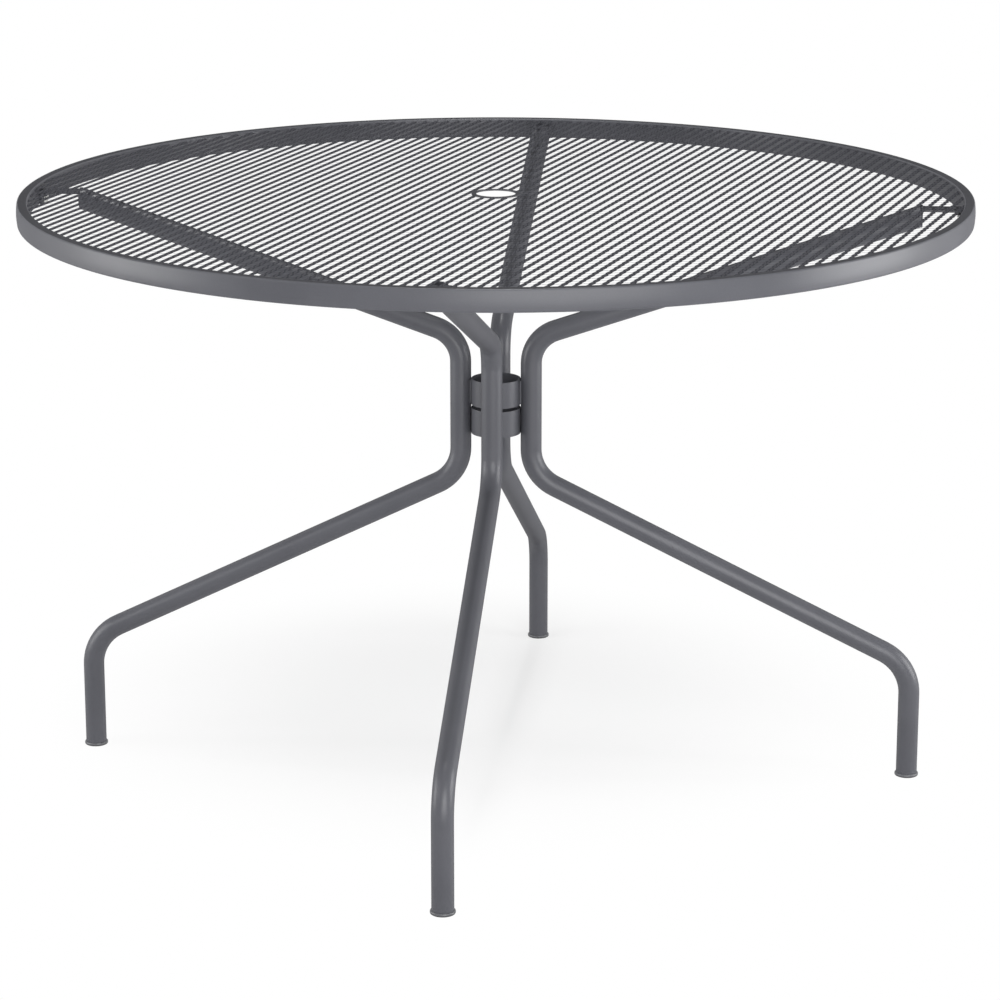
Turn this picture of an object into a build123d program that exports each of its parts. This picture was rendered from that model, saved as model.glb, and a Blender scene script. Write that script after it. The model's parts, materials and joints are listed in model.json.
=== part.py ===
from build123d import *
import math
import os

# Round patio table: an expanded-metal top in a flat-sided rim, on four bent tube legs round a
# hub of two stacked collars. Millimetres, +Z up, origin on the floor under the centre of the top.
# The legs lie along the X and Y axes, and the front leg points along -Y.

# Overall
table_diameter = 1200.0
table_height = 757.0

# Rim, a hoop of rectangular tube
rim_height = 27.0
rim_width = 14.0
rim_wall = 1.5
rim_corner_radius = 2.5

# Expanded-metal panel: the long way, short way, bond and strand of the sheet, and how many
# times larger than that the openings are drawn, so that the panel stays light
mesh_drop = 2.5
mesh_thickness = 1.2
mesh_edge_clearance = 0.3
mesh_edge_band = 4.0
opening_long_way = 26.0
opening_short_way = 16.4
bond_length = 4.6
strand_width = 2.2
opening_draw_scale = 4.3
mesh_turn = 45.0
smallest_opening_share = 0.06

# Parasol ring, let into the panel
umbrella_hole_diameter = 50.0
umbrella_ring_width = 6.0
umbrella_ring_thickness = 1.5
umbrella_ring_rise = 0.5

# Leg tube and its centreline
tube_diameter = 27.0
tube_wall = 2.0
foot_inset = 62.5
foot_corner_height = 150.0
foot_bend_radius = 62.0
lower_bend_radius = 54.0
upper_bend_radius = 46.0
upright_corner_distance = 179.5
arm_slope = 19.0
arm_end_gap = 53.0
arm_to_mesh_clearance = 2.0

# Hub collars
collar_diameter = 63.5
collar_wall = 2.5
collar_height = 34.0
collar_gap = 4.0
collar_edge_chamfer = 0.6
collar_to_leg_clearance = 0.2

# Hub welds, in the narrow gap where an upright lies against its collar
weld_inner_edge = 3.0
weld_outer_edge = 6.5
weld_end_margin = 2.0

# Foot glides
glide_flange_diameter = 30.7
glide_flange_height = 4.5
glide_flange_edge = 1.8
glide_plug_length = 22.0
glide_plug_clearance = 0.05
glide_groove_depth = 0.6
glide_rib_height = 2.0
glide_rib_count = 4
glide_plug_wall = 3.0

# Arm end plates and mounting straps
end_plate_thickness = 2.0
strap_width = 27.0
strap_thickness = 3.0
strap_flange_height = 17.2
strap_flange_lift = 0.5
strap_inner_bend = 1.5

# Strap fixing: a button-head screw and washer into a rivet nut in the rim's inner wall
screw_diameter = 6.0
screw_head_diameter = 10.5
screw_head_height = 3.3
screw_head_edge = 1.0
screw_socket_width = 4.0
screw_socket_depth = 2.0
screw_clearance = 0.3
thread_clearance = 0.05
washer_diameter = 11.0
washer_thickness = 1.2
washer_lift = 0.9
rivet_nut_diameter = 9.0
rivet_nut_head_diameter = 12.0
rivet_nut_head_height = 0.8
rivet_nut_length = 10.0
rivet_nut_clearance = 0.05

# Worked-out places
rim_radius = table_diameter / 2
rim_inner_radius = rim_radius - rim_width
rim_bottom = table_height - rim_height
mesh_top_height = table_height - mesh_drop
mesh_bottom_height = mesh_top_height - mesh_thickness
mesh_radius = rim_inner_radius - mesh_edge_clearance
umbrella_hole_radius = umbrella_hole_diameter / 2
umbrella_ring_radius = umbrella_hole_radius + umbrella_ring_width
tube_radius = tube_diameter / 2
tube_bore_radius = tube_radius - tube_wall
collar_radius = collar_diameter / 2
upright_radius = collar_radius + collar_to_leg_clearance + tube_radius
foot_radius = rim_radius - foot_inset
arm_rise = math.tan(math.radians(arm_slope))
arm_half_height = tube_radius / math.cos(math.radians(arm_slope))
arm_end_radius = rim_inner_radius - arm_end_gap
arm_end_height = mesh_bottom_height - arm_to_mesh_clearance - arm_half_height
upper_corner_height = arm_end_height - (arm_end_radius - upright_radius) * arm_rise
lower_corner_height = upper_corner_height - upright_corner_distance
lower_slope = math.atan2(lower_corner_height - foot_corner_height, foot_radius - upright_radius)
lower_bend_run = lower_bend_radius * math.tan((math.pi / 2 - lower_slope) / 2)
upper_bend_run = upper_bend_radius * math.tan((math.pi / 2 - math.radians(arm_slope)) / 2)
upright_bottom = lower_corner_height + lower_bend_run
upright_top = upper_corner_height - upper_bend_run
hub_height = (upright_bottom + upright_top) / 2
strap_bottom = rim_bottom + strap_flange_lift
strap_top = strap_bottom + strap_flange_height
screw_height = strap_bottom + washer_lift + washer_diameter / 2
strap_inner_end = arm_end_radius + end_plate_thickness
strap_outer_end = rim_inner_radius - rivet_nut_head_height
washer_face = strap_outer_end - strap_thickness
screw_face = washer_face - washer_thickness

sides = {"front": -90, "right": 0, "back": 90, "left": 180}


def on_side(shape, angle):
    """A shape modelled on the +X side, turned about the table's axis."""
    return Rot(0, 0, angle) * shape


def along_x(radius, start, end, height):
    """A round bar along X, at a height above the floor."""
    plane = Plane(origin=(start, 0, height), x_dir=(0, 1, 0), z_dir=(1, 0, 0))
    return extrude(plane * Circle(radius), end - start)


def make_rim():
    """Rectangular hoop, hollow, with a hole in its inner wall for each rivet nut."""
    section_centre = (rim_radius - rim_width / 2, table_height - rim_height / 2)
    inner_corner = max(rim_corner_radius - rim_wall, rim_wall / 4)
    outline = RectangleRounded(rim_width, rim_height, rim_corner_radius)
    hollow = RectangleRounded(rim_width - 2 * rim_wall, rim_height - 2 * rim_wall, inner_corner)
    section = Plane.XZ * Pos(*section_centre) * (outline - hollow)
    hoop = revolve(section, Axis.Z)
    hole_radius = rivet_nut_diameter / 2 + rivet_nut_clearance
    hole_end = rim_inner_radius + rim_width / 2
    hole = along_x(hole_radius, rim_inner_radius - rim_wall, hole_end, screw_height)
    for angle in sides.values():
        hoop -= on_side(hole, angle)
    return hoop


def opening_outline():
    """One opening of the sheet: a diamond cut short by the bonds at its obtuse corners."""
    long_way = opening_long_way * opening_draw_scale
    short_way = opening_short_way * opening_draw_scale
    bond = bond_length * opening_draw_scale
    strand = strand_width * opening_draw_scale
    strand_angle = math.atan2(short_way / 2, long_way / 2 - bond)
    tip = long_way / 2 - bond / 2 - strand / 2 / math.sin(strand_angle)
    half_height = short_way / 2 - strand
    half_flat = tip - half_height / math.tan(strand_angle)
    corners = [
        (tip, 0),
        (half_flat, half_height),
        (-half_flat, half_height),
        (-tip, 0),
        (-half_flat, -half_height),
        (half_flat, -half_height),
    ]
    return Polygon(*corners, align=None)


def opening_places():
    """Centres of the openings: rows half a long way apart in step, as the sheet is slit."""
    step_x = opening_long_way * opening_draw_scale / 2
    step_y = opening_short_way * opening_draw_scale / 2
    columns = math.ceil(mesh_radius / step_x) + 1
    rows = math.ceil(mesh_radius / step_y) + 1
    for column in range(-columns, columns + 1):
        for row in range(-rows, rows + 1):
            if (column + row) % 2 == 0:
                yield column * step_x, row * step_y


def make_mesh_top():
    """Disc of expanded metal: one holed face, with the openings trimmed at both edges."""
    opening = opening_outline()
    reach = opening.bounding_box().size.X / 2
    outer_limit = mesh_radius - mesh_edge_band
    inner_limit = umbrella_ring_radius + mesh_edge_clearance + mesh_edge_band
    field = Circle(outer_limit) - Circle(inner_limit)
    smallest = opening.area * smallest_opening_share
    holes = []
    for x, y in opening_places():
        distance = math.hypot(x, y)
        if distance > outer_limit + reach:
            continue
        shape = Pos(x, y) * opening
        if distance + reach > outer_limit or distance - reach < inner_limit:
            shape = shape & field
        if shape is None:
            continue
        holes += [face for face in shape.faces() if face.area > smallest]
    hole_wires = [face.outer_wire() for face in holes]
    hole_wires.append(Wire.make_circle(umbrella_ring_radius + mesh_edge_clearance))
    panel = Face(Wire.make_circle(mesh_radius), hole_wires)
    sheet = extrude(panel, mesh_thickness, dir=(0, 0, 1))
    return Pos(0, 0, mesh_bottom_height) * Rot(0, 0, mesh_turn) * sheet


def make_umbrella_ring():
    """Flat ring that the strands round the parasol hole are welded to."""
    top = mesh_top_height + umbrella_ring_rise
    ring = Circle(umbrella_ring_radius) - Circle(umbrella_hole_radius)
    return extrude(Pos(0, 0, top - umbrella_ring_thickness) * ring, umbrella_ring_thickness)


def make_leg():
    """One bent tube, from the glide up past the hub to the plumb-cut arm end, on the +X side."""
    overrun = 2 * tube_diameter
    tip = arm_end_radius + overrun
    path = FilletPolyline(
        (foot_radius, 0, glide_flange_height),
        (foot_radius, 0, foot_corner_height),
        (upright_radius, 0, lower_corner_height),
        (upright_radius, 0, upper_corner_height),
        (tip, 0, arm_end_height + overrun * arm_rise),
        radius=[foot_bend_radius, lower_bend_radius, upper_bend_radius],
    )
    start = Plane(origin=path @ 0, z_dir=path % 0)
    tube = sweep(start * (Circle(tube_radius) - Circle(tube_bore_radius)), path)
    waste = Box(2 * overrun, table_diameter, table_height, align=(Align.MIN, Align.CENTER, Align.CENTER))
    return tube - Pos(arm_end_radius, 0, arm_end_height) * waste


def make_collar(bottom):
    """Short open tube of the hub."""
    collar = Circle(collar_radius) - Circle(collar_radius - collar_wall)
    tube = extrude(Pos(0, 0, bottom) * collar, collar_height)
    rims = tube.edges().filter_by(GeomType.CIRCLE)
    return chamfer(rims, collar_edge_chamfer)


def make_weld(bottom):
    """One fillet weld beside the line where the +X upright lies against a collar."""
    width = weld_outer_edge - weld_inner_edge
    block = Pos(collar_radius, weld_inner_edge + width / 2) * Rectangle(tube_diameter, width)
    bead = block - Circle(collar_radius) - Pos(upright_radius, 0) * Circle(tube_radius)
    between = bead.faces().sort_by_distance((collar_radius, weld_inner_edge, 0))[0]
    length = collar_height - 2 * weld_end_margin
    return extrude(Pos(0, 0, bottom + weld_end_margin) * between, length, dir=(0, 0, 1))


def make_foot_glide():
    """Moulded foot: a rounded flange under the tube and a hollow ribbed plug inside it."""
    flange_radius = glide_flange_diameter / 2
    rib_radius = tube_bore_radius - glide_plug_clearance
    groove_radius = rib_radius - glide_groove_depth
    plug_top = glide_flange_height + glide_plug_length
    flange = Pos(0, glide_flange_height / 2) * Rectangle(2 * flange_radius, glide_flange_height)
    flange = fillet(flange.vertices(), min(glide_flange_edge, 0.45 * glide_flange_height))
    plug_centre = glide_flange_height + glide_plug_length / 2
    plug = Pos(0, plug_centre) * Rectangle(2 * groove_radius, glide_plug_length)
    profile = flange + plug
    rib_step = (glide_plug_length - glide_rib_height) / glide_rib_count
    for index in range(glide_rib_count):
        height = glide_flange_height + rib_step * (index + 1)
        profile += Pos(0, height) * Rectangle(2 * rib_radius, glide_rib_height)
    core_radius = groove_radius - glide_plug_wall
    core = Pos(0, glide_flange_height + plug_top / 2) * Rectangle(2 * core_radius, plug_top)
    half = Pos(flange_radius, 0) * Rectangle(2 * flange_radius, 4 * plug_top)
    section = Plane.XZ * ((profile - core) & half)
    return Pos(foot_radius, 0, 0) * revolve(section, Axis.Z)


def make_arm_end_plate():
    """Oval plate that closes the plumb-cut end of an arm."""
    plane = Plane(origin=(arm_end_radius, 0, arm_end_height), x_dir=(0, 1, 0), z_dir=(1, 0, 0))
    return extrude(plane * Ellipse(tube_radius, arm_half_height), end_plate_thickness)


def make_mounting_strap():
    """Flat strap from the arm's end plate to the rim, turned down there into a screwed flange."""
    outer_bend = strap_inner_bend + strap_thickness
    path = FilletPolyline(
        (strap_inner_end, strap_top),
        (strap_outer_end, strap_top),
        (strap_outer_end, strap_bottom),
        radius=[outer_bend],
    )
    inside = FilletPolyline(
        (washer_face, strap_bottom),
        (washer_face, strap_top - strap_thickness),
        (strap_inner_end, strap_top - strap_thickness),
        radius=[strap_inner_bend],
    )
    close = Line((strap_outer_end, strap_bottom), (washer_face, strap_bottom))
    open_end = Line((strap_inner_end, strap_top - strap_thickness), (strap_inner_end, strap_top))
    section = make_face([*path.edges(), close, *inside.edges(), open_end])
    strap = extrude(Plane.XZ * section, strap_width / 2, both=True)
    hole_radius = screw_diameter / 2 + screw_clearance
    return strap - along_x(hole_radius, screw_face, strap_outer_end, screw_height)


def make_strap_screw():
    """Button-head screw with a hexagon socket, driven outwards into the rim."""
    shank_end = strap_outer_end + rivet_nut_length
    shank = along_x(screw_diameter / 2 - thread_clearance, screw_face, shank_end, screw_height)
    head = along_x(screw_head_diameter / 2, screw_face - screw_head_height, screw_face, screw_height)
    crown = head.faces().sort_by(Axis.X)[0]
    head = fillet(crown.edges(), min(screw_head_edge, 0.45 * screw_head_height))
    socket_plane = Plane(
        origin=(screw_face - screw_head_height, 0, screw_height), x_dir=(0, 1, 0), z_dir=(1, 0, 0)
    )
    hexagon = RegularPolygon(screw_socket_width / 2, 6, major_radius=False)
    socket = extrude(socket_plane * hexagon, screw_socket_depth)
    return head + shank - socket


def make_strap_washer():
    """Plain washer under the screw head."""
    disc = along_x(washer_diameter / 2, screw_face, washer_face, screw_height)
    return disc - along_x(screw_diameter / 2 + screw_clearance, screw_face, washer_face, screw_height)


def make_rivet_nut():
    """Threaded insert set in the rim's inner wall, with its thin head on the face."""
    head = along_x(rivet_nut_head_diameter / 2, strap_outer_end, rim_inner_radius, screw_height)
    hoop = Pos(0, 0, screw_height) * Cylinder(rim_inner_radius, 2 * rivet_nut_head_diameter)
    body_end = strap_outer_end + rivet_nut_length
    body = along_x(rivet_nut_diameter / 2, strap_outer_end, body_end, screw_height)
    bore = along_x(screw_diameter / 2, strap_outer_end, body_end, screw_height)
    return (head & hoop) + body - bore


def save(shape, node):
    """Write one node's solids to its own file."""
    export_step(shape, f"parts/{node}.step")


os.makedirs("parts", exist_ok=True)

save(make_rim(), "rim")
save(make_mesh_top(), "mesh_top")
save(make_umbrella_ring(), "umbrella_ring")

lower_collar_bottom = hub_height - collar_gap / 2 - collar_height
upper_collar_bottom = hub_height + collar_gap / 2
save(make_collar(upper_collar_bottom), "upper_hub_collar")
save(make_collar(lower_collar_bottom), "lower_hub_collar")

each_side = {
    "leg": make_leg(),
    "foot_glide": make_foot_glide(),
    "arm_end_plate": make_arm_end_plate(),
    "mounting_strap": make_mounting_strap(),
}
for name, shape in each_side.items():
    for side, angle in sides.items():
        save(on_side(shape, angle), f"{name}_{side}")

# The left and right legs are welded to the upper collar, the front and back ones to the lower
welds = []
for side, angle in sides.items():
    bottom = upper_collar_bottom if side in ("left", "right") else lower_collar_bottom
    bead = make_weld(bottom)
    welds += [on_side(bead, angle), on_side(mirror(bead, Plane.XZ), angle)]
save(Compound(children=welds), "hub_welds")

fasteners = {
    "strap_screws": make_strap_screw(),
    "strap_washers": make_strap_washer(),
    "rivet_nuts": make_rivet_nut(),
}
for node, shape in fasteners.items():
    save(Compound(children=[on_side(shape, angle) for angle in sides.values()]), node)

print("foot radius", round(foot_radius, 2), "upright radius", round(upright_radius, 2))
print("corner heights", round(lower_corner_height, 2), round(upper_corner_height, 2))
print("upright", round(upright_bottom, 2), round(upright_top, 2), "hub", round(hub_height, 2))
print("arm end height", round(arm_end_height, 2), "strap top", round(strap_top, 2))
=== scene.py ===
import bmesh
import bpy
import json
import math
from mathutils import Matrix, Vector


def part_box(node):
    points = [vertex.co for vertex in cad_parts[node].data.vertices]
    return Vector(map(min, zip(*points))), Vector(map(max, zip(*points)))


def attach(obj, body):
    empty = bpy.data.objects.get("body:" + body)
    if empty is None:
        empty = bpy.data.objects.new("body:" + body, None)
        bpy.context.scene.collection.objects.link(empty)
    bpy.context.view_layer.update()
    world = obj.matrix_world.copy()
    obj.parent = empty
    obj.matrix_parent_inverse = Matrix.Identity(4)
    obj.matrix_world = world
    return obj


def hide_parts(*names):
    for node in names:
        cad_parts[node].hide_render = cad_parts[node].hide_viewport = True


# Round patio table with an expanded-metal top, in metres, +Z up, standing on the floor at z = 0.
# Each piece is modelled on the +X side, or on the table's axis, and takes its place from the frame.

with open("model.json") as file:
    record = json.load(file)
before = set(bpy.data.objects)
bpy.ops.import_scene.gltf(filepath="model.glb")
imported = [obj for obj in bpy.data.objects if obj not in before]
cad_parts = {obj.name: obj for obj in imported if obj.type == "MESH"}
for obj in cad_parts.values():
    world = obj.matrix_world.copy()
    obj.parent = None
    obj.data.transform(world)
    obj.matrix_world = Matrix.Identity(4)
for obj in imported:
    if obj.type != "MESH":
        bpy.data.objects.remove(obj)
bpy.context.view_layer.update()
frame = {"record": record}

SIDES = {"front": -90, "right": 0, "back": 90, "left": 180}

# Points closer than this are one point, and edges sharper than this are eased
same_point = 1e-6
eased_angle = math.radians(40)
eased_segments = 2

# Rim
rim_low, rim_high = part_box("rim")
rim_clearance = 0.00001
rim_radius = min(rim_high.x, rim_high.y, -rim_low.x, -rim_low.y) - rim_clearance
rim_width = 0.014
rim_inner_radius = rim_radius - rim_width
rim_corner = 0.0024
rim_corner_segments = 5
rim_crown = 0.0008
rim_crown_rows = 4
rim_steps = 240

# Expanded-metal sheet
mesh_low, mesh_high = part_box("mesh_top")
mesh_long_way = 0.026
mesh_short_way = 0.0164
mesh_bond = 0.0046
mesh_bar = 0.0033
mesh_bar_rise = 0.0013
mesh_link = 0.0014
mesh_link_drop = 0.00026
mesh_thickness = 0.00025
mesh_turn = math.radians(45)
mesh_edge_cuts = 96
mesh_hole_cuts = 24
mesh_same_point = 1e-5

# Parasol ring
ring_low, ring_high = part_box("umbrella_ring")
ring_radius = ring_high.x
umbrella_mount = next(m for m in frame["record"]["mounts"] if m["name"] == "umbrella_hole")
umbrella_hole_radius = umbrella_mount["dims"]["r_mm"] / 1000
ring_edge = 0.0004

# Legs
leg_low, leg_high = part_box("leg_right")
plate_low, plate_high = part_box("arm_end_plate_right")
tube_radius = leg_high.y
tube_wall = 0.002
tube_sides = 48
foot_radius = leg_high.x - tube_radius
upright_radius = leg_low.x + tube_radius
foot_corner_height = 0.150
foot_bend = 0.062
lower_bend = 0.054
upper_bend = 0.046
upright_corner_distance = 0.1795
arm_slope = math.radians(19)
arm_end = plate_low.x
arm_end_height = (plate_low.z + plate_high.z) / 2
upper_corner_height = arm_end_height - (arm_end - upright_radius) * math.tan(arm_slope)
lower_corner_height = upper_corner_height - upright_corner_distance
bend_step = math.radians(5)

# Hub
collar_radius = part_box("upper_hub_collar")[1].x
collar_wall = 0.0025
collar_edge = 0.0007
collar_sides = 72
weld_radius = 0.0016
weld_sides = 12
weld_offset = 0.0054
weld_ripples = 15
weld_swell = 1.12
weld_margin = 0.002

# Foot glides
glide_low, glide_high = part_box("foot_glide_right")
glide_radius = (glide_high.x - glide_low.x) / 2
glide_flange = leg_low.z - glide_low.z
glide_edge = 0.0017
glide_edge_segments = 4
glide_clearance = 0.0001
glide_plug_radius = tube_radius - tube_wall - glide_clearance
glide_sole_border = 0.003
glide_sole_depth = 0.0008

# Mounting straps and their fixings
strap_low, strap_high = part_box("mounting_strap_right")
strap_thickness = 0.003
strap_edge = 0.0005
strap_bend = 1.5 * strap_thickness
strap_bend_segments = 6
screw_low, screw_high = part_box("strap_screws")
screw_height = (screw_low.z + screw_high.z) / 2
screw_head_radius = (screw_high.z - screw_low.z) / 2
screw_head_height = 0.0033
screw_head_edge = 0.0014
screw_head_segments = 5
screw_socket = 0.0023
screw_socket_depth = 0.002
washer_low, washer_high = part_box("strap_washers")
washer_radius = (washer_high.z - washer_low.z) / 2
washer_thickness = 0.0012
nut_low, nut_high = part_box("rivet_nuts")
nut_head_radius = (nut_high.z - nut_low.z) / 2
fixing_bore = 0.0033
fixing_edge = 0.0002
fixing_sides = 32

# Camera, at the photo's viewing angle
view_azimuth = math.radians(6.58)
view_pitch = math.radians(15.37)
view_distance = 4.407
view_aim_height = 0.3537
view_aim_side = 0.0052
view_lens = 122.8
view_sensor = 36.0

# Noise patterns: the middle stretch of their values that is spread out to 0 and 1
soft_stretch = 0.3, 0.7
sharp_stretch = 0.35, 0.65

# Powder coat: its tones where dark and light, and the darker tone painted on upward faces as painted
# shade, its roughness, and its patterns' features per metre
coat_tones = (0.061, 0.062, 0.071, 1), (0.073, 0.074, 0.084, 1), (0.030, 0.0305, 0.035, 1)
# The sheet's tones: the same powder coat, painted darker all over as painted shade
sheet_shaded_tones = (0.026, 0.0265, 0.033, 1), (0.033, 0.0335, 0.041, 1), (0.022, 0.0225, 0.028, 1)
coat_roughness = 0.32
sheet_roughness = 0.45
coat_shine = 0.25
coat_cloud, coat_peel, coat_fleck, coat_grain = 9, 420, 700, 1500
coat_skin_depth = 0.0001
coat_skin_strength = 0.15
# Upward faces: where their painted shade and their dullness begin and are full, and how much duller they
# get
up_shade_facing_up = 0.85, 0.99
worn_dullness = 0.45
glancing_reach = 0.3, 1.0
glancing_dullness = 0.4

# Glide plastic and zinc plate, in the same way; the glide's darker tone low down, over the heights given,
# is painted shade where the glide meets the floor
plastic_tones = (0.070, 0.071, 0.078, 1), (0.085, 0.086, 0.094, 1)
plastic_contact_shade_tone = (0.012, 0.012, 0.013, 1)
plastic_contact_shade_height = 0.0008, 0.0026
plastic_roughness = 0.33
plastic_shine = 0.45
plastic_cloud, plastic_shade_blotch, plastic_grain = 60, 300, 1800
plastic_skin_depth = 0.00005
plastic_skin_strength = 0.2
zinc_tones = (0.50, 0.50, 0.49, 1), (0.64, 0.64, 0.61, 1)
zinc_roughness = 0.28
zinc_cloud, zinc_marks = 350, 2600
zinc_skin_depth = 0.00004
zinc_skin_strength = 0.2

# Studio: the floor, the place and reach of the shadow that it shows, and the even light
white = (1, 1, 1, 1)
floor_paint = (0.78, 0.78, 0.78, 1)
floor_radius = 14
floor_sides = 96
floor_drop = 0.0005
shadow_middle = (-0.06, 0.22, 0)
shadow_reach = 0.15, 0.62
shadow_share = 0.40
even_light = 0.12

# Lamps: azimuth and elevation in degrees, distance, width and height in metres, and power in watts
lamp_aim_height = 0.45
lamps = {
    "overhead_strip": (0, 90, 3.3, (0.3, 1.4), 64),
    "front_softbox": (22, 28, 5.2, (2.6, 1.8), 84),
    "left_front_softbox": (-46, 28, 4.2, (1.8, 1.8), 25),
    "front_panel": (20, 6, 2.4, (1.75, 1.1), 38),
    "left_panel": (-76, 6, 2.25, (1.4, 1.1), 29),
    "right_panel": (90, 6, 2.2, (1.3, 1.1), 35),
}


def new_piece(add, **settings):
    """Add a primitive with nothing else selected, and open it with all of it selected."""
    bpy.ops.object.select_all(action="DESELECT")
    add(**settings)
    bpy.ops.object.transform_apply(location=True, rotation=True, scale=True)
    bpy.ops.object.mode_set(mode="EDIT")
    bpy.ops.mesh.select_mode(type="VERT")
    bpy.ops.mesh.select_all(action="SELECT")
    return bpy.context.object


def pick(piece, kind, test):
    """In edit mode, select only the vertices, edges or faces whose middle passes a test."""
    bpy.ops.mesh.select_mode(type=kind)
    bpy.ops.mesh.select_all(action="DESELECT")
    shape = bmesh.from_edit_mesh(piece.data)
    if kind == "VERT":
        chosen = [v for v in shape.verts if test(v.co)]
    elif kind == "EDGE":
        chosen = [e for e in shape.edges if test((e.verts[0].co + e.verts[1].co) / 2)]
    else:
        chosen = [f for f in shape.faces if test(f.calc_center_median())]
    for part in chosen:
        part.select_set(True)
    shape.select_flush_mode()
    bmesh.update_edit_mesh(piece.data)


def extrude(step):
    """Extrude what is selected and move it by a step."""
    bpy.ops.mesh.extrude_region_move(TRANSFORM_OT_translate={"value": tuple(step)})


def weld_doubles():
    """Merge the double points of the whole piece and turn its faces outwards."""
    bpy.ops.mesh.select_all(action="SELECT")
    bpy.ops.mesh.remove_doubles(threshold=same_point)
    bpy.ops.mesh.normals_make_consistent(inside=False)


def apply_modifier(piece, kind, **settings):
    """Add one modifier to the piece and apply it."""
    modifier = piece.modifiers.new(kind, kind)
    for name, value in settings.items():
        setattr(modifier, name, value)
    bpy.ops.object.modifier_apply(modifier=modifier.name)


def close_piece(piece, name, wall=None, edge=None, smooth=30):
    """Leave edit mode, give the piece its wall and eased edges, and smooth its round faces."""
    bpy.ops.object.mode_set(mode="OBJECT")
    piece.name = name
    if wall:
        apply_modifier(piece, "SOLIDIFY", thickness=wall, offset=-1, use_even_offset=True)
    if edge:
        apply_modifier(
            piece,
            "BEVEL",
            width=edge,
            segments=eased_segments,
            limit_method="ANGLE",
            angle_limit=eased_angle,
        )
    bpy.ops.object.shade_smooth_by_angle(angle=math.radians(smooth))
    apply_modifier(piece, "WEIGHTED_NORMAL", keep_sharp=True)
    return piece


def twin(piece, name, turn):
    """A copy of a finished piece with its own mesh, under its own turn."""
    copy = piece.copy()
    copy.data = piece.data.copy()
    copy.data.transform(turn)
    copy.name = name
    bpy.context.collection.objects.link(copy)
    return copy


def on_four_sides(piece, name):
    """The +X side's piece and its three copies, by side."""
    found = {}
    for side, angle in SIDES.items():
        found[side] = twin(piece, f"{name}_{side}", Matrix.Rotation(math.radians(angle), 4, "Z"))
    bpy.data.objects.remove(piece)
    return found


def joined(parts, name):
    """Several objects made one piece."""
    bpy.ops.object.select_all(action="DESELECT")
    for part in parts:
        part.select_set(True)
    bpy.context.view_layer.objects.active = parts[0]
    bpy.ops.object.join()
    parts[0].name = name
    return parts[0]


def make_rim():
    """A hoop of flat-sided tube: its section, with a slight crown on the outer face, spun round."""
    height = rim_high.z - rim_low.z
    middle = Vector((rim_radius - rim_width / 2, 0, rim_low.z + height / 2))
    rim = new_piece(
        bpy.ops.mesh.primitive_plane_add, size=1, location=middle, rotation=(math.pi / 2, 0, 0)
    )
    bpy.ops.transform.resize(value=(rim_width, 1, height), center_override=middle)
    bpy.ops.mesh.bevel(offset=rim_corner, segments=rim_corner_segments, affect="VERTICES")
    flat = height / 2 - rim_corner
    pick(rim, "EDGE", lambda p: p.x > rim_radius - rim_corner / 100 and abs(p.z - middle.z) < flat / 2)
    bpy.ops.mesh.subdivide(number_cuts=2 * rim_crown_rows - 1)
    for row in range(1, rim_crown_rows + 1):
        row_start = flat * (row - 0.5) / rim_crown_rows
        pick(rim, "VERT", lambda p: p.x > middle.x and abs(p.z - middle.z) > row_start)
        bpy.ops.transform.translate(value=(-rim_crown * (2 * row - 1) / rim_crown_rows ** 2, 0, 0))
    bpy.ops.mesh.select_all(action="SELECT")
    bpy.ops.mesh.delete(type="ONLY_FACE")
    bpy.ops.mesh.select_all(action="SELECT")
    bpy.ops.mesh.spin(steps=rim_steps, angle=math.tau, center=(0, 0, 0), axis=(0, 0, 1))
    weld_doubles()
    return close_piece(rim, "rim_hoop")


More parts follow.
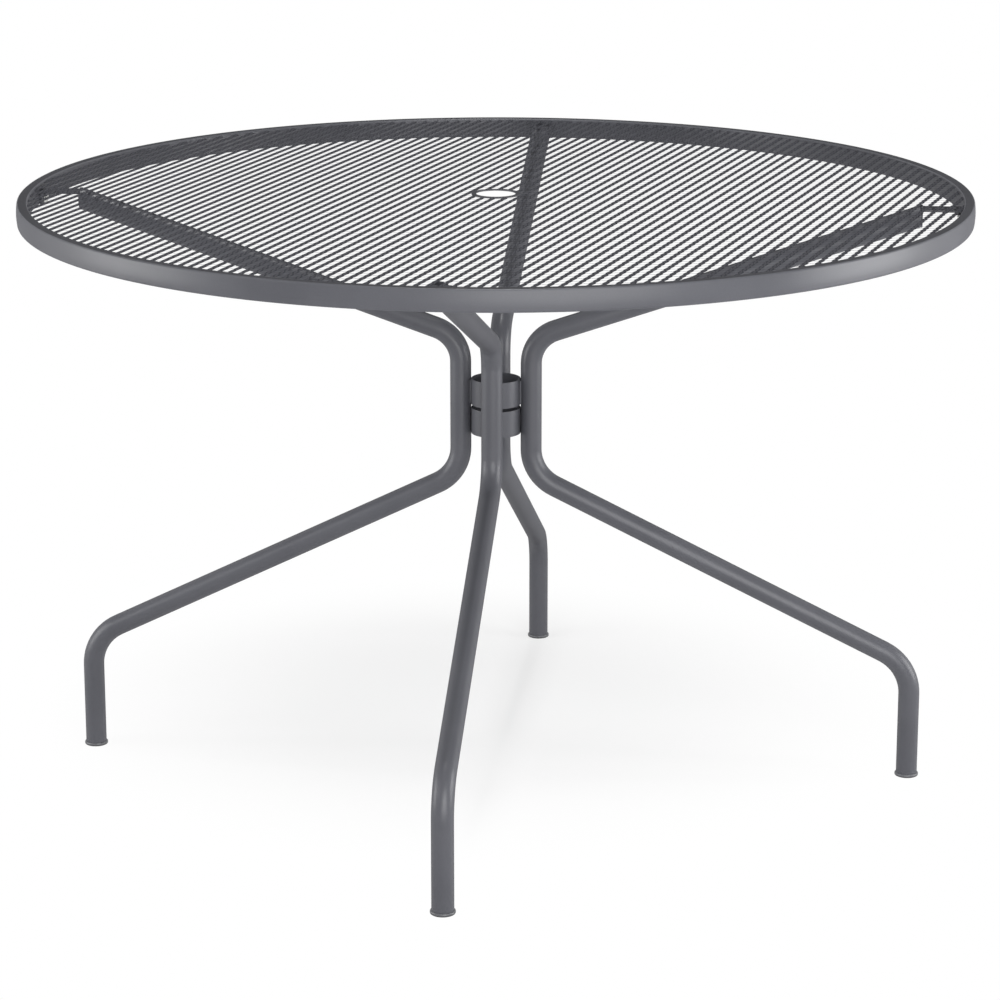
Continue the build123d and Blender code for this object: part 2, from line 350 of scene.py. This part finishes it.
def make_mesh_top():
    """Expanded metal: one opening with half a strand round it, repeated, trimmed and thickened.

    The strands on one side of an opening are wide tilted bars, those on the other are narrow links.
    """
    slope = math.atan2(mesh_short_way / 2, mesh_long_way / 2 - mesh_bond)
    centre_tip = mesh_long_way / 2 - mesh_bond / 2
    mean_strand = (mesh_bar + mesh_link) / 2
    sheet = new_piece(
        bpy.ops.mesh.primitive_circle_add,
        vertices=6,
        radius=1,
        fill_type="NGON",
        rotation=(0, 0, math.pi / 2),
    )
    corner = math.sin(math.pi / 3)
    pick(sheet, "VERT", lambda p: abs(p.y) < corner / 2)
    bpy.ops.transform.resize(value=(centre_tip, 1, 1), center_override=(0, 0, 0))
    pick(sheet, "VERT", lambda p: abs(p.y) > corner / 2)
    bpy.ops.transform.resize(
        value=(mesh_bond, mesh_short_way / 2 / corner, 1), center_override=(0, 0, 0)
    )
    pick(sheet, "FACE", lambda p: True)
    bpy.ops.mesh.inset(thickness=mean_strand / 2, depth=0)
    bpy.ops.mesh.delete(type="FACE")
    inset_height = mesh_short_way / 2 - mean_strand / 2
    inset_tip = centre_tip - mean_strand / 2 / math.sin(slope)
    inset_flat = inset_tip - inset_height / math.tan(slope)
    open_height = mesh_short_way / 2 - mean_strand
    reach = centre_tip - open_height / math.tan(slope)
    tip_side = (mesh_bar - mesh_link) / 4 / math.cos(slope)
    moves = (
        (Vector((inset_tip, 0, 0)), Vector((inset_tip, tip_side, mesh_link_drop / 2))),
        (
            Vector((inset_flat, inset_height, 0)),
            Vector((reach - mesh_link / 2 / math.sin(slope), open_height, mesh_link_drop / 2)),
        ),
        (
            Vector((-inset_flat, inset_height, 0)),
            Vector((
                mesh_bar / 2 / math.sin(slope) - reach,
                open_height,
                mesh_link_drop / 2 - mesh_bar_rise,
            )),
        ),
    )
    for was, now in moves:
        for hand in (1, -1):
            pick(sheet, "VERT", lambda p: (p - was * hand).length < mean_strand / 8)
            bpy.ops.transform.translate(value=(now - was) * hand)
    bpy.ops.mesh.select_all(action="SELECT")
    bpy.ops.mesh.duplicate_move(
        TRANSFORM_OT_translate={"value": (mesh_long_way / 2, mesh_short_way / 2, 0)}
    )
    columns = math.ceil(rim_inner_radius / mesh_long_way) + 1
    rows = math.ceil(rim_inner_radius / mesh_short_way) + 1
    bpy.ops.mesh.select_all(action="SELECT")
    bpy.ops.transform.translate(
        value=(-columns * mesh_long_way, -rows * mesh_short_way, (mesh_low.z + mesh_high.z) / 2)
    )
    bpy.ops.object.mode_set(mode="OBJECT")
    for step, count in (((mesh_long_way, 0, 0), 2 * columns), ((0, mesh_short_way, 0), 2 * rows)):
        apply_modifier(
            sheet,
            "ARRAY",
            use_relative_offset=False,
            use_constant_offset=True,
            constant_offset_displace=step,
            count=count,
        )
    sheet.rotation_euler.z = mesh_turn
    bpy.ops.object.transform_apply(location=True, rotation=True, scale=True)
    bpy.ops.object.mode_set(mode="EDIT")
    bpy.ops.mesh.select_all(action="SELECT")
    bpy.ops.mesh.remove_doubles(threshold=mesh_same_point)
    for index in range(mesh_edge_cuts):
        angle = math.tau * index / mesh_edge_cuts
        outwards = Vector((math.cos(angle), math.sin(angle), 0))
        bpy.ops.mesh.select_all(action="SELECT")
        bpy.ops.mesh.bisect(
            plane_co=outwards * rim_inner_radius * math.cos(math.pi / mesh_edge_cuts),
            plane_no=outwards,
            clear_outer=True,
        )
    trim_radius = (umbrella_hole_radius + ring_radius) / 2
    for index in range(mesh_hole_cuts):
        angle = math.tau * index / mesh_hole_cuts
        outwards = Vector((math.cos(angle), math.sin(angle), 0))
        pick(sheet, "FACE", lambda p: p.xy.length < ring_radius + mesh_short_way)
        bpy.ops.mesh.bisect(plane_co=outwards * trim_radius, plane_no=outwards)
    pick(sheet, "FACE", lambda p: p.xy.length < trim_radius)
    bpy.ops.mesh.delete(type="FACE")
    bpy.ops.mesh.select_all(action="SELECT")
    bpy.ops.mesh.normals_make_consistent(inside=False)
    bpy.ops.object.mode_set(mode="OBJECT")
    sheet.name = "expanded_metal_sheet"
    apply_modifier(sheet, "SOLIDIFY", thickness=mesh_thickness, offset=-1)
    return sheet


def make_umbrella_ring():
    """Flat ring round the parasol hole."""
    depth = ring_high.z - ring_low.z
    ring = new_piece(
        bpy.ops.mesh.primitive_cylinder_add,
        vertices=collar_sides,
        radius=ring_radius,
        depth=depth,
        end_fill_type="NOTHING",
        location=(0, 0, ring_low.z + depth / 2),
    )
    return close_piece(ring, "parasol_ring", wall=ring_radius - umbrella_hole_radius, edge=ring_edge)


def make_leg():
    """A round tube, drawn up from the foot and bent at three corners to the plumb-cut arm end."""
    corners = [
        Vector((foot_radius, 0, leg_low.z)),
        Vector((foot_radius, 0, foot_corner_height)),
        Vector((upright_radius, 0, lower_corner_height)),
        Vector((upright_radius, 0, upper_corner_height)),
        Vector((arm_end + tube_radius, 0, arm_end_height + tube_radius * math.tan(arm_slope))),
    ]
    bends = [foot_bend, lower_bend, upper_bend]
    leg = new_piece(
        bpy.ops.mesh.primitive_circle_add, vertices=tube_sides, radius=tube_radius, location=corners[0]
    )
    place = corners[0]
    for before, corner, after, bend in zip(corners, corners[1:], corners[2:], bends):
        way_in = (corner - before).normalized()
        way_out = (after - corner).normalized()
        turn = way_in.angle(way_out)
        axis = way_in.cross(way_out).normalized()
        run = bend * math.tan(turn / 2)
        start = corner - way_in * run
        extrude(start - place)
        bpy.ops.mesh.spin(
            steps=math.ceil(turn / bend_step),
            angle=-turn,
            center=start + axis.cross(way_in) * bend,
            axis=axis,
        )
        place = corner + way_out * run
    extrude(corners[-1] - place)
    weld_doubles()
    pick(
        leg,
        "FACE",
        lambda p: p.z > upper_corner_height + upper_bend and p.x > upright_radius + upper_bend,
    )
    bpy.ops.mesh.bisect(plane_co=(arm_end, 0, 0), plane_no=(1, 0, 0), clear_outer=True)
    return close_piece(leg, "bent_tube_leg", wall=tube_wall)


def make_collar(node, name):
    """Short open tube of the hub, with its sawn edges eased."""
    low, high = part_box(node)
    collar = new_piece(
        bpy.ops.mesh.primitive_cylinder_add,
        vertices=collar_sides,
        radius=collar_radius,
        depth=high.z - low.z,
        end_fill_type="NOTHING",
        location=(0, 0, (low.z + high.z) / 2),
    )
    return close_piece(collar, name, wall=collar_wall, edge=collar_edge)


def make_weld(node, name):
    """One rippled bead beside the line where the +X upright lies against a collar."""
    low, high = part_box(node)
    length = high.z - low.z - 2 * weld_margin
    bead_x = (
        math.sqrt(collar_radius ** 2 - weld_offset ** 2)
        + upright_radius
        - math.sqrt(tube_radius ** 2 - weld_offset ** 2)
    ) / 2
    middle = Vector((bead_x, weld_offset, low.z + weld_margin))
    bead = new_piece(
        bpy.ops.mesh.primitive_circle_add,
        vertices=weld_sides,
        radius=weld_radius,
        location=middle,
        fill_type="NGON",
    )
    ripple = Vector((0, 0, length / weld_ripples / 2))
    for index in range(2 * weld_ripples):
        extrude(ripple)
        middle = middle + ripple
        scale = weld_swell if index % 2 == 0 else 1 / weld_swell
        bpy.ops.transform.resize(value=(scale, scale, 1), center_override=middle)
    weld_doubles()
    return close_piece(bead, name, smooth=60)


def make_foot_glide():
    """Moulded foot: a flange with eased edges and a dished sole, and the plug in the tube's bore."""
    glide = new_piece(
        bpy.ops.mesh.primitive_cylinder_add,
        vertices=tube_sides,
        radius=glide_radius,
        depth=glide_flange,
        location=(foot_radius, 0, glide_low.z + glide_flange / 2),
    )
    flange_top = glide_low.z + glide_flange
    pick(glide, "FACE", lambda p: p.z > flange_top - glide_edge / 4)
    bpy.ops.mesh.inset(thickness=glide_radius - glide_plug_radius)
    extrude((0, 0, glide_high.z - flange_top))
    flange_inside = glide_radius - glide_edge / 4
    pick(
        glide,
        "EDGE",
        lambda p: p.z < flange_top + glide_edge / 4
        and (Vector((foot_radius, 0)) - p.xy).length > flange_inside
        and abs(p.z - glide_low.z - glide_flange / 2) > glide_flange / 4,
    )
    bpy.ops.mesh.bevel(offset=glide_edge, segments=glide_edge_segments)
    pick(glide, "FACE", lambda p: p.z < glide_low.z + glide_edge / 100)
    bpy.ops.mesh.inset(thickness=glide_sole_border)
    bpy.ops.mesh.inset(thickness=glide_sole_depth)
    bpy.ops.transform.translate(value=(0, 0, glide_sole_depth))
    weld_doubles()
    return close_piece(glide, "foot_glide")


def make_arm_end_plate():
    """Oval plate on the plumb-cut end of an arm."""
    half_height = (plate_high.z - plate_low.z) / 2
    middle = Vector((plate_low.x, 0, arm_end_height))
    plate = new_piece(
        bpy.ops.mesh.primitive_circle_add,
        vertices=tube_sides,
        radius=tube_radius,
        fill_type="NGON",
        location=middle,
        rotation=(0, math.pi / 2, 0),
    )
    bpy.ops.transform.resize(value=(1, 1, half_height / tube_radius), center_override=middle)
    extrude((plate_high.x - plate_low.x, 0, 0))
    weld_doubles()
    return close_piece(plate, "arm_end_plate", edge=strap_edge)


def make_mounting_strap():
    """Flat bar from the arm's end plate to the rim, folded down there behind the rim's wall."""
    length = strap_high.x - strap_low.x
    width = strap_high.y - strap_low.y
    middle = Vector((strap_low.x + length / 2, 0, strap_high.z))
    strap = new_piece(bpy.ops.mesh.primitive_plane_add, size=1, location=middle)
    bpy.ops.transform.resize(value=(length, width, 1), center_override=middle)
    pick(strap, "EDGE", lambda p: p.x > strap_high.x - strap_edge)
    extrude((0, 0, strap_low.z - strap_high.z))
    pick(strap, "EDGE", lambda p: p.x > strap_high.x - strap_edge and p.z > strap_high.z - strap_edge)
    bpy.ops.mesh.bevel(offset=strap_bend, segments=strap_bend_segments)
    bpy.ops.mesh.select_all(action="SELECT")
    bpy.ops.mesh.normals_make_consistent(inside=False)
    return close_piece(strap, "mounting_strap", wall=strap_thickness, edge=strap_edge)


def disc_on_rim(radius, start, end):
    """A round bar along +X, opened for editing, at the height of the strap's fixing."""
    return new_piece(
        bpy.ops.mesh.primitive_cylinder_add,
        vertices=fixing_sides,
        radius=radius,
        depth=end - start,
        location=((start + end) / 2, 0, screw_height),
        rotation=(0, math.pi / 2, 0),
    )


def make_screw():
    """Button-head screw with a hexagon socket, its head towards the table's middle."""
    head_start = washer_high.x - washer_thickness - screw_head_height
    head_end = head_start + screw_head_height
    screw = disc_on_rim(screw_head_radius, head_start, head_end)
    pick(screw, "FACE", lambda p: p.x < head_start + fixing_edge)
    bpy.ops.mesh.bevel(offset=screw_head_edge, segments=screw_head_segments)
    pick(screw, "FACE", lambda p: p.x > head_end - fixing_edge)
    bpy.ops.mesh.inset(thickness=screw_head_radius - fixing_bore)
    extrude((screw_high.x - head_end, 0, 0))
    weld_doubles()
    bpy.ops.object.mode_set(mode="OBJECT")
    key = new_piece(
        bpy.ops.mesh.primitive_cylinder_add,
        vertices=6,
        radius=screw_socket,
        depth=2 * screw_socket_depth,
        location=(head_start, 0, screw_height),
        rotation=(0, math.pi / 2, 0),
    )
    bpy.ops.object.mode_set(mode="OBJECT")
    bpy.ops.object.select_all(action="DESELECT")
    bpy.context.view_layer.objects.active = screw
    screw.select_set(True)
    apply_modifier(screw, "BOOLEAN", operation="DIFFERENCE", object=key)
    bpy.data.objects.remove(key)
    return close_piece(screw, "strap_screw")


def make_ring_on_rim(name, radius, start, end):
    """A flat ring on the fixing's axis: the washer, or the rivet nut's head."""
    ring = disc_on_rim(radius, start, end)
    pick(ring, "FACE", lambda p: p.x < start + fixing_edge / 4 or p.x > end - fixing_edge / 4)
    bpy.ops.mesh.delete(type="ONLY_FACE")
    return close_piece(ring, name, wall=radius - fixing_bore, edge=fixing_edge)


class Shade:
    """A socket in a material's nodes. Maths on it adds Math nodes."""

    def __init__(self, tree, socket=None):
        self.tree = tree
        self.socket = socket

    def node(self, kind, settings=None, inputs=None, output=0):
        """Add a node: its settings first, then the values or links of its sockets."""
        made = self.tree.nodes.new(kind)
        for name, value in (settings or {}).items():
            setattr(made, name, value)
        for name, value in (inputs or {}).items():
            if isinstance(value, Shade):
                self.tree.links.new(value.socket, made.inputs[name])
            else:
                made.inputs[name].default_value = value
        return Shade(self.tree, made.outputs[output])

    def maths(self, operation, first, second):
        """One Math node on two values."""
        return self.node("ShaderNodeMath", {"operation": operation}, {0: first, 1: second})

    def __add__(self, other):
        return self.maths("ADD", self, other)

    __radd__ = __add__

    def __sub__(self, other):
        return self.maths("SUBTRACT", self, other)

    def __rsub__(self, other):
        return self.maths("SUBTRACT", other, self)

    def __mul__(self, other):
        return self.maths("MULTIPLY", self, other)

    __rmul__ = __mul__

    def between(self, low, high):
        """0 below low, 1 above high, and smooth between."""
        return self.node(
            "ShaderNodeMapRange",
            {"interpolation_type": "SMOOTHSTEP"},
            {"Value": self, "From Min": low, "From Max": high},
        )

    def blend(self, first, second):
        """From the first colour at 0 to the second at 1."""
        return self.node("ShaderNodeMix", {"data_type": "RGBA"}, {0: self, 6: first, 7: second}, 2)


def new_material(name):
    """An empty node material and the start of its node maths."""
    material = bpy.data.materials.new(name)
    material.use_nodes = True
    material.node_tree.nodes.clear()
    return material, Shade(material.node_tree)


def finish_nodes(shader, kind="Material"):
    """Join a shader to the output of its material or world."""
    output = shader.tree.nodes.new(f"ShaderNodeOutput{kind}")
    shader.tree.links.new(shader.socket, output.inputs["Surface"])


def noise(place, scale, detail=2.0, roughness=0.5):
    """Noise over the piece, from 0 to 1, with features about 1 / scale metres wide."""
    return place.node(
        "ShaderNodeTexNoise",
        inputs={"Vector": place, "Scale": scale, "Detail": detail, "Roughness": roughness},
    )


def powder_coat(name, dark, light, up_shade_tone, roughness):
    """Satin anthracite powder coat, with a fine orange-peel skin and a cloudy tone.

    It is painted darker where it faces up, as painted shade, and is duller there; its gloss fades at a
    glancing angle.
    """
    material, start = new_material(name)
    place = start.node("ShaderNodeTexCoord", output="Object")
    normal = start.node("ShaderNodeNewGeometry", output="Normal")
    facing_up = normal.node("ShaderNodeSeparateXYZ", inputs={"Vector": normal}, output="Z")
    cloud = noise(place, coat_cloud, 3).between(*soft_stretch)
    fleck = noise(place, coat_fleck, 2).between(*sharp_stretch)
    peel = noise(place, coat_peel, 2, 0.4)
    grain = noise(place, coat_grain, 1)
    # Painted shade: upward faces take the darker tone, and they are made rougher too
    up_shade_and_dullness = facing_up.between(*up_shade_facing_up) * (0.8 + 0.2 * cloud)
    glancing = start.node("ShaderNodeLayerWeight", output="Facing").between(*glancing_reach)
    dullness = cloud * 0.02 + fleck * 0.02 + up_shade_and_dullness * worn_dullness + glancing * glancing_dullness
    skin = start.node(
        "ShaderNodeBump",
        inputs={
            "Height": peel * 0.7 + grain * 0.3,
            "Strength": coat_skin_strength,
            "Distance": coat_skin_depth,
        },
    )
    shader = start.node(
        "ShaderNodeBsdfPrincipled",
        inputs={
            "Base Color": up_shade_and_dullness.blend((cloud * 0.7 + fleck * 0.3).blend(dark, light), up_shade_tone),
            "Roughness": roughness + dullness,
            "Specular IOR Level": coat_shine,
            "Normal": skin,
        },
    )
    finish_nodes(shader)
    return material


def glide_plastic():
    """Moulded dark grey plastic, satin, with a fine grain, and painted shade low down where it meets the
    floor, where it is also rougher.
    """
    material, start = new_material("grey_glide_plastic")
    place = start.node("ShaderNodeTexCoord", output="Object")
    grain = noise(place, plastic_grain, 2)
    cloud = noise(place, plastic_cloud, 3).between(*soft_stretch)
    blotch = noise(place, plastic_shade_blotch, 3).between(*soft_stretch)
    height = place.node("ShaderNodeSeparateXYZ", inputs={"Vector": place}, output="Z")
    # Painted shade: darker low down where the glide meets the floor, and rougher there too
    floor_contact_shade_and_dullness = (1 - height.between(*plastic_contact_shade_height)) * (0.8 + 0.2 * blotch)
    skin = start.node(
        "ShaderNodeBump",
        inputs={"Height": grain, "Strength": plastic_skin_strength, "Distance": plastic_skin_depth},
    )
    shader = start.node(
        "ShaderNodeBsdfPrincipled",
        inputs={
            "Base Color": floor_contact_shade_and_dullness.blend(cloud.blend(*plastic_tones), plastic_contact_shade_tone),
            "Roughness": plastic_roughness + cloud * 0.06 + floor_contact_shade_and_dullness * 0.4,
            "Specular IOR Level": plastic_shine,
            "Normal": skin,
        },
    )
    finish_nodes(shader)
    return material


def zinc_plate():
    """Bright zinc plate with a cloudy passivate and fine drawing marks."""
    material, start = new_material("bright_zinc_plate")
    place = start.node("ShaderNodeTexCoord", output="Object")
    cloud = noise(place, zinc_cloud, 3).between(*soft_stretch)
    marks = noise(place, zinc_marks, 3, 0.6)
    skin = start.node(
        "ShaderNodeBump",
        inputs={"Height": marks, "Strength": zinc_skin_strength, "Distance": zinc_skin_depth},
    )
    shader = start.node(
        "ShaderNodeBsdfPrincipled",
        inputs={
            "Base Color": cloud.blend(*zinc_tones),
            "Metallic": 1.0,
            "Roughness": zinc_roughness + cloud * 0.12 + marks * 0.08,
            "Normal": skin,
        },
    )
    finish_nodes(shader)
    return material


def add_piece(piece, nodes, material):
    """Hang a finished piece on the table's one body, in place of its CAD nodes."""
    piece.data.materials.clear()
    piece.data.materials.append(material)
    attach(piece, "root")
    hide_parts(*nodes)


def seen_rays(start):
    """1 for rays that should see the white background, 0 for rays that carry light."""
    path = start.tree.nodes.new("ShaderNodeLightPath")
    camera, glossy, transmission = (
        Shade(start.tree, path.outputs[f"Is {kind} Ray"]) for kind in ("Camera", "Glossy", "Transmission")
    )
    return start.node("ShaderNodeClamp", inputs={"Value": camera + glossy + transmission})


def make_floor():
    """Pale studio floor: plain white further out, and white with the table's soft shadow near it."""
    bpy.ops.object.select_all(action="DESELECT")
    bpy.ops.mesh.primitive_circle_add(
        vertices=floor_sides, radius=floor_radius, fill_type="NGON", location=(0, 0, -floor_drop)
    )
    floor = bpy.context.object
    floor.name = "studio_floor"
    material, start = new_material("white_floor")
    place = start.node("ShaderNodeTexCoord", output="Object")
    away = start.node(
        "ShaderNodeVectorMath", {"operation": "DISTANCE"}, {0: place, 1: shadow_middle}, "Value"
    )
    glow = start.node("ShaderNodeEmission", inputs={"Color": white, "Strength": 1.0})
    paint = start.node("ShaderNodeBsdfDiffuse", inputs={"Color": floor_paint})
    whiteness = seen_rays(start) * (1 - shadow_share + shadow_share * away.between(*shadow_reach))
    shader = start.node("ShaderNodeMixShader", inputs={0: whiteness, 1: paint, 2: glow})
    finish_nodes(shader)
    floor.data.materials.append(material)


def make_world():
    """White background for what is seen, and an even soft light for what is lit."""
    world = bpy.data.worlds.new("white_studio")
    bpy.context.scene.world = world
    world.use_nodes = True
    world.node_tree.nodes.clear()
    start = Shade(world.node_tree)
    lit = start.node("ShaderNodeBackground", inputs={"Color": white, "Strength": even_light})
    seen = start.node("ShaderNodeBackground", inputs={"Color": white, "Strength": 1.0})
    both = start.node("ShaderNodeMixShader", inputs={0: seen_rays(start), 1: lit, 2: seen})
    finish_nodes(both, "World")


def make_softbox(name, azimuth, elevation, distance, size, power):
    """A softbox on a sphere round the table, turned to the table's middle and never itself in view."""
    turn, rise = math.radians(azimuth), math.radians(elevation)
    away = Vector(
        (math.sin(turn) * math.cos(rise), -math.cos(turn) * math.cos(rise), math.sin(rise))
    )
    lamp = bpy.data.lights.new(name, "AREA")
    lamp.shape = "RECTANGLE"
    lamp.size, lamp.size_y = size
    lamp.energy = power
    box = bpy.data.objects.new(name, lamp)
    box.location = Vector((0, 0, lamp_aim_height)) + away * distance
    box.rotation_euler = away.to_track_quat("Z", "Y").to_euler()
    box.visible_camera = False
    bpy.context.scene.collection.objects.link(box)


def make_camera():
    """The photo's viewpoint, a long lens a little above the top."""
    back = Vector((
        math.sin(view_azimuth) * math.cos(view_pitch),
        -math.cos(view_azimuth) * math.cos(view_pitch),
        math.sin(view_pitch),
    ))
    right = Vector((math.cos(view_azimuth), math.sin(view_azimuth), 0))
    camera = bpy.data.cameras.new("photo_view")
    camera.lens = view_lens
    camera.sensor_width = view_sensor
    eye = bpy.data.objects.new("photo_view", camera)
    eye.location = Vector((0, 0, view_aim_height)) + back * view_distance + right * view_aim_side
    eye.rotation_euler = back.to_track_quat("Z", "Y").to_euler()
    bpy.context.scene.collection.objects.link(eye)
    bpy.context.scene.camera = eye


coat = powder_coat("anthracite_powder_coat", *coat_tones, coat_roughness)
bracket_coat = powder_coat("anthracite_bracket_coat", *coat_tones[:2], coat_tones[1], coat_roughness)
# The sheet takes the same coat in darker tones, as painted shade
sheet_shaded_coat = powder_coat("anthracite_sheet_painted_shade_coat", *sheet_shaded_tones, sheet_roughness)
plastic = glide_plastic()
zinc = zinc_plate()

add_piece(make_rim(), ["rim"], coat)
add_piece(make_mesh_top(), ["mesh_top"], sheet_shaded_coat)
add_piece(make_umbrella_ring(), ["umbrella_ring"], coat)
add_piece(make_collar("upper_hub_collar", "upper_collar"), ["upper_hub_collar"], coat)
add_piece(make_collar("lower_hub_collar", "lower_collar"), ["lower_hub_collar"], coat)

each_side = {
    "leg": (make_leg(), "powder_coat", coat),
    "foot_glide": (make_foot_glide(), "glide_plastic", plastic),
    "arm_end_plate": (make_arm_end_plate(), "powder_coat", bracket_coat),
    "mounting_strap": (make_mounting_strap(), "powder_coat", bracket_coat),
}
for node, (piece, slot, material) in each_side.items():
    for side, copy in on_four_sides(piece, f"table_{node}").items():
        add_piece(copy, [f"{node}_{side}"], material)

# The left and right legs are welded to the upper collar, the front and back ones to the lower
beads = []
for node, sides in (("upper_hub_collar", ("left", "right")), ("lower_hub_collar", ("front", "back"))):
    bead = make_weld(node, "weld_bead")
    other = twin(bead, "weld_bead_far", Matrix.Scale(-1, 4, (0, 1, 0)))
    other.data.flip_normals()
    for half in (bead, other):
        for side in sides:
            beads.append(twin(half, "weld", Matrix.Rotation(math.radians(SIDES[side]), 4, "Z")))
        bpy.data.objects.remove(half)
add_piece(joined(beads, "hub_weld_beads"), ["hub_welds"], coat)

washer_start = washer_high.x - washer_thickness
nut_start = washer_high.x + strap_thickness
fixings = {
    "strap_screws": make_screw(),
    "strap_washers": make_ring_on_rim("strap_washer", washer_radius, washer_start, washer_high.x),
    "rivet_nuts": make_ring_on_rim("rivet_nut", nut_head_radius, nut_start, rim_inner_radius),
}
for node, piece in fixings.items():
    four = on_four_sides(piece, node)
    add_piece(joined(list(four.values()), f"{node}_set"), [node], zinc)

make_floor()
make_world()
for lamp_name, settings in lamps.items():
    make_softbox(lamp_name, *settings)
make_camera()
bpy.context.scene.view_settings.view_transform = "Standard"
